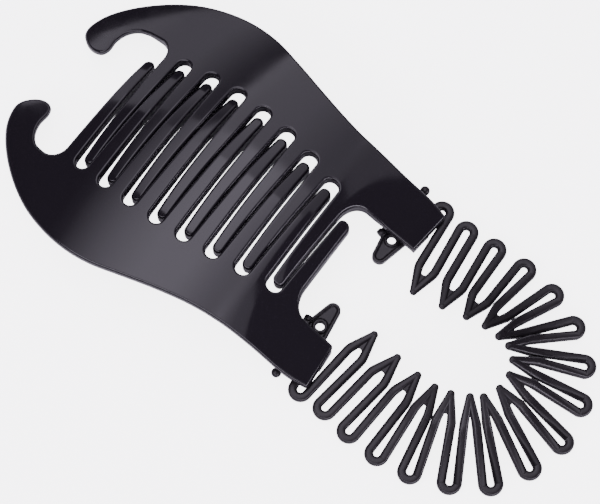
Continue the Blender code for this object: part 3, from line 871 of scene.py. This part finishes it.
def closed_piece(name, parts, material, bevel=0.0):
    """An object made of closed shells given as points and faces in millimetres, with rounded edges."""
    work = bmesh.new()
    for points, faces in parts:
        verts = [work.verts.new(Vector(point) * MM) for point in points]
        for face in faces:
            work.faces.new([verts[corner] for corner in face])
    bmesh.ops.recalc_face_normals(work, faces=work.faces[:])
    if bevel:
        sharp = [edge for edge in work.edges if edge.calc_face_angle(0) > SHARP_ANGLE]
        bmesh.ops.bevel(work, geom=sharp, offset=bevel * MM, segments=3, profile=0.5, affect="EDGES",
                        clamp_overlap=True)
    mesh = bpy.data.meshes.new(name)
    work.to_mesh(mesh)
    work.free()
    mesh.shade_smooth()
    mesh.set_sharp_from_angle(angle=SHARP_ANGLE)
    mesh.materials.append(material)
    piece = bpy.data.objects.new(name, mesh)
    bpy.context.scene.collection.objects.link(piece)
    return piece


def stretch_band_tree():
    """Sweeps the wire's rounded square section along its path, upright and scaled by its width share."""
    tree = bpy.data.node_groups.new("folded_wire", "GeometryNodeTree")
    sockets = {}
    tree.interface.new_socket("Geometry", in_out="INPUT", socket_type="NodeSocketGeometry")
    tree.interface.new_socket("Geometry", in_out="OUTPUT", socket_type="NodeSocketGeometry")
    for name, kind in (("Wire size", "NodeSocketFloat"), ("Edge radius", "NodeSocketFloat"),
                       ("Plastic", "NodeSocketMaterial")):
        sockets[name] = tree.interface.new_socket(name, in_out="INPUT", socket_type=kind).identifier
    group_in = tree.nodes.new("NodeGroupInput")
    group_out = tree.nodes.new("NodeGroupOutput")
    line = add_node(tree, "GeometryNodeMeshToCurve", None, {"Mesh": group_in.outputs["Geometry"]})
    upright = add_node(tree, "GeometryNodeSetCurveNormal", None, {"Curve": line.outputs["Curve"]},
                       mode="Z_UP")
    share = add_node(tree, "GeometryNodeInputNamedAttribute", {"Name": "width_share"}, data_type="FLOAT")
    section = add_node(tree, "GeometryNodeCurvePrimitiveQuadrilateral", None,
                       {"Width": group_in.outputs["Wire size"], "Height": group_in.outputs["Wire size"]})
    rounded = add_node(tree, "GeometryNodeFilletCurve", {"Count": 5},
                       {"Curve": section.outputs["Curve"], "Radius": group_in.outputs["Edge radius"]},
                       mode="POLY")
    swept = add_node(tree, "GeometryNodeCurveToMesh", {"Fill Caps": True},
                     {"Curve": upright.outputs["Curve"], "Profile Curve": rounded.outputs["Curve"],
                      "Scale": share.outputs["Attribute"]})
    real = add_node(tree, "GeometryNodeRealizeInstances", None, {"Geometry": swept.outputs["Mesh"]})
    dressed = add_node(tree, "GeometryNodeSetMaterial", None,
                       {"Geometry": real.outputs["Geometry"], "Material": group_in.outputs["Plastic"]})
    tree.links.new(dressed.outputs["Geometry"], group_out.inputs["Geometry"])
    return tree, sockets


def black_nylon():
    """Black nylon from a plain mould: a satin gloss over a very fine grain, which gives soft grey
    sheens along the wire and small sharp glints at the bends."""
    material, output = new_material("satin_black_nylon_moulding")
    tree = material.node_tree
    place = add_node(tree, "ShaderNodeTexCoord")
    grain = add_node(tree, "ShaderNodeTexNoise", {"Scale": 1400.0, "Detail": 2.0},
                     {"Vector": place.outputs["Object"]})
    flow = add_node(tree, "ShaderNodeTexNoise", {"Scale": 120.0, "Detail": 3.0},
                    {"Vector": place.outputs["Object"]})
    bump = add_node(tree, "ShaderNodeBump", {"Strength": 0.08, "Distance": 0.0001},
                    {"Height": grain.outputs["Fac"]})
    sheen = add_node(tree, "ShaderNodeMapRange",
                     {"From Min": 0.3, "From Max": 0.7, "To Min": 0.22, "To Max": 0.34},
                     {"Value": flow.outputs["Fac"]})
    shader = add_node(tree, "ShaderNodeBsdfPrincipled",
                      {"Base Color": linear("#232023"), "IOR": 1.53, "Specular IOR Level": 0.27},
                      {"Roughness": sheen.outputs["Result"], "Normal": bump.outputs["Normal"]})
    tree.links.new(shader.outputs["BSDF"], output.inputs["Surface"])
    return material


nylon = black_nylon()
frames = tooth_frames()
path = softened(wire_path(frames))
path_mesh = bpy.data.meshes.new("wire_path")
path_mesh.from_pydata([point * MM for point, share in path], [(i, i + 1) for i in range(len(path) - 1)], [])
shares = path_mesh.attributes.new("width_share", "FLOAT", "POINT")
shares.data.foreach_set("value", [share for point, share in path])
wire = bpy.data.objects.new("wire_path", path_mesh)
bpy.context.scene.collection.objects.link(wire)
tree, sockets = stretch_band_tree()
sweep = wire.modifiers.new("folded wire", "NODES")
sweep.node_group = tree
sweep[sockets["Wire size"]] = WIRE * MM
sweep[sockets["Edge radius"]] = WIRE_EDGE_RADIUS * MM
sweep[sockets["Plastic"]] = nylon
wire_mesh = bpy.data.meshes.new_from_object(wire.evaluated_get(bpy.context.evaluated_depsgraph_get()))
bpy.data.objects.remove(wire)
wire_mesh.shade_smooth()
band = bpy.data.objects.new("stretch_band_moulding", wire_mesh)
bpy.context.scene.collection.objects.link(band)
webs = []
for tip, direction, sideways, half_width in frames:
    loop = spaced(web_outline(half_width), WEB_EDGE_SPACING)
    webs.append(moulded_plate([loop], WEB_THICKNESS, WEB_LIP, WEB_LIP, WEB_FACE_SPACING,
                              web_place(tip, direction, sideways)))
for side in (1, -1):
    outline, hole = end_tooth_loops(side)
    loops = [spaced(outline, END_TOOTH_EDGE_SPACING), spaced(hole, END_TOOTH_HOLE_SPACING)]
    webs.append(moulded_plate(loops, WIRE, END_TOOTH_LIP, END_TOOTH_LIP, END_TOOTH_FACE_SPACING,
                              table_place, end_tooth_dish))
web = bpy.data.objects.new("stretch_band_webs", finished_mesh("stretch_band_webs", webs, nylon))
bpy.context.scene.collection.objects.link(web)
pins = closed_piece("stretch_band_pins", [hinge_pin(1), hinge_pin(-1)], nylon)
for piece in (band, web, pins):
    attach(piece, "band")
    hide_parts("stretch_band")

# Snap barrels and end skirts
# Each comb half's tab has an open barrel under it that snaps over the band's pin, and a wall turned down
# along its end edge. Both are the same shot of black acrylic as the half.
BARREL_START = 20.3
BARREL_END = 31.5
BARREL_WALL = 1.0
BARREL_MOUTH = 1.9
BARREL_BOTTOM = 0.25
BARREL_TOP_GAP = 0.3
BORE_POINTS = 21
SKIRT_THICKNESS = 0.9
SKIRT_LENGTH = 6.6
SKIRT_BOTTOM = 0.3
SKIRT_SHALLOW_BOTTOM = 2.7
SKIRT_TOP_INSET = 0.8
SKIRT_TOP = TAB_END_HEIGHT + TAB_SLOPE * SKIRT_TOP_INSET
SKIRT_INSET = 0.15
SKIRT_CORNER_GAP = 0.8
UNDER_TAB_BEVEL = 0.18


def barrel(side):
    """Half-open barrel round the pin, running up into the tab, as points and faces."""
    bore = PIN_RADIUS + PIN_CLEARANCE
    outside = bore + BARREL_WALL
    mouth = BARREL_MOUTH / 2
    tops = [float(plate_height(np.array(HINGE_POINT[0] + way * outside), np.array(HINGE_POINT[1])))
            - BARREL_TOP_GAP - PIN_HEIGHT for way in (-1, 1)]
    bottom = BARREL_BOTTOM - PIN_HEIGHT
    start = -math.asin(math.sqrt(bore ** 2 - mouth ** 2) / bore)
    turns = np.linspace(start, math.pi - start, BORE_POINTS)
    profile = [(-mouth, bottom), (-outside, bottom), (-outside, tops[0]), (outside, tops[1]),
               (outside, bottom), (mouth, bottom)]
    profile += [(bore * math.cos(turn), bore * math.sin(turn)) for turn in turns]
    centre, axis = pin_place(side), pin_axis(side)
    across = Vector((side * axis.y, -side * axis.x, 0.0))
    points = []
    for out in (BARREL_START, BARREL_END):
        end = centre + axis * (out - HINGE_POINT[1])
        points += [end + across * x + Vector((0, 0, z)) for x, z in profile]
    count = len(profile)
    faces = [tuple(range(count)), tuple(range(2 * count - 1, count - 1, -1))]
    faces += [(i, (i + 1) % count, (i + 1) % count + count, i + count) for i in range(count)]
    return points, faces


def end_wall(side, start, end, bottom):
    """A stretch of the wall along the tab's end edge, between two distances from its inner corner."""
    inner, outer = Vector(TAB_INNER_CORNER), Vector(SPINE_EDGE[0])
    way = (outer - inner).normalized()
    outward_way = Vector((way.y, -way.x))
    points = []
    for distance in (start, end):
        for inset in (SKIRT_THICKNESS + SKIRT_INSET, SKIRT_INSET):
            spot = inner + way * distance - outward_way * inset
            for z in (bottom, SKIRT_TOP):
                points.append(Vector((spot.x + side * HALF_SHIFT, side * spot.y, z)))
    faces = [(0, 1, 3, 2), (4, 6, 7, 5), (0, 4, 5, 1), (2, 3, 7, 6), (0, 2, 6, 4), (1, 5, 7, 3)]
    return points, faces


edge_length = math.dist(TAB_INNER_CORNER, SPINE_EDGE[0])
step_place = SKIRT_CORNER_GAP + SKIRT_LENGTH
for half in HALVES:
    name, body, side = half[:3]
    under_tab = [barrel(side), end_wall(side, SKIRT_CORNER_GAP, step_place, SKIRT_BOTTOM),
                 end_wall(side, step_place, edge_length - SKIRT_CORNER_GAP, SKIRT_SHALLOW_BOTTOM)]
    piece = closed_piece(name + "_barrel_and_skirt", under_tab, acrylic, UNDER_TAB_BEVEL)
    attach(piece, body)
    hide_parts(name)
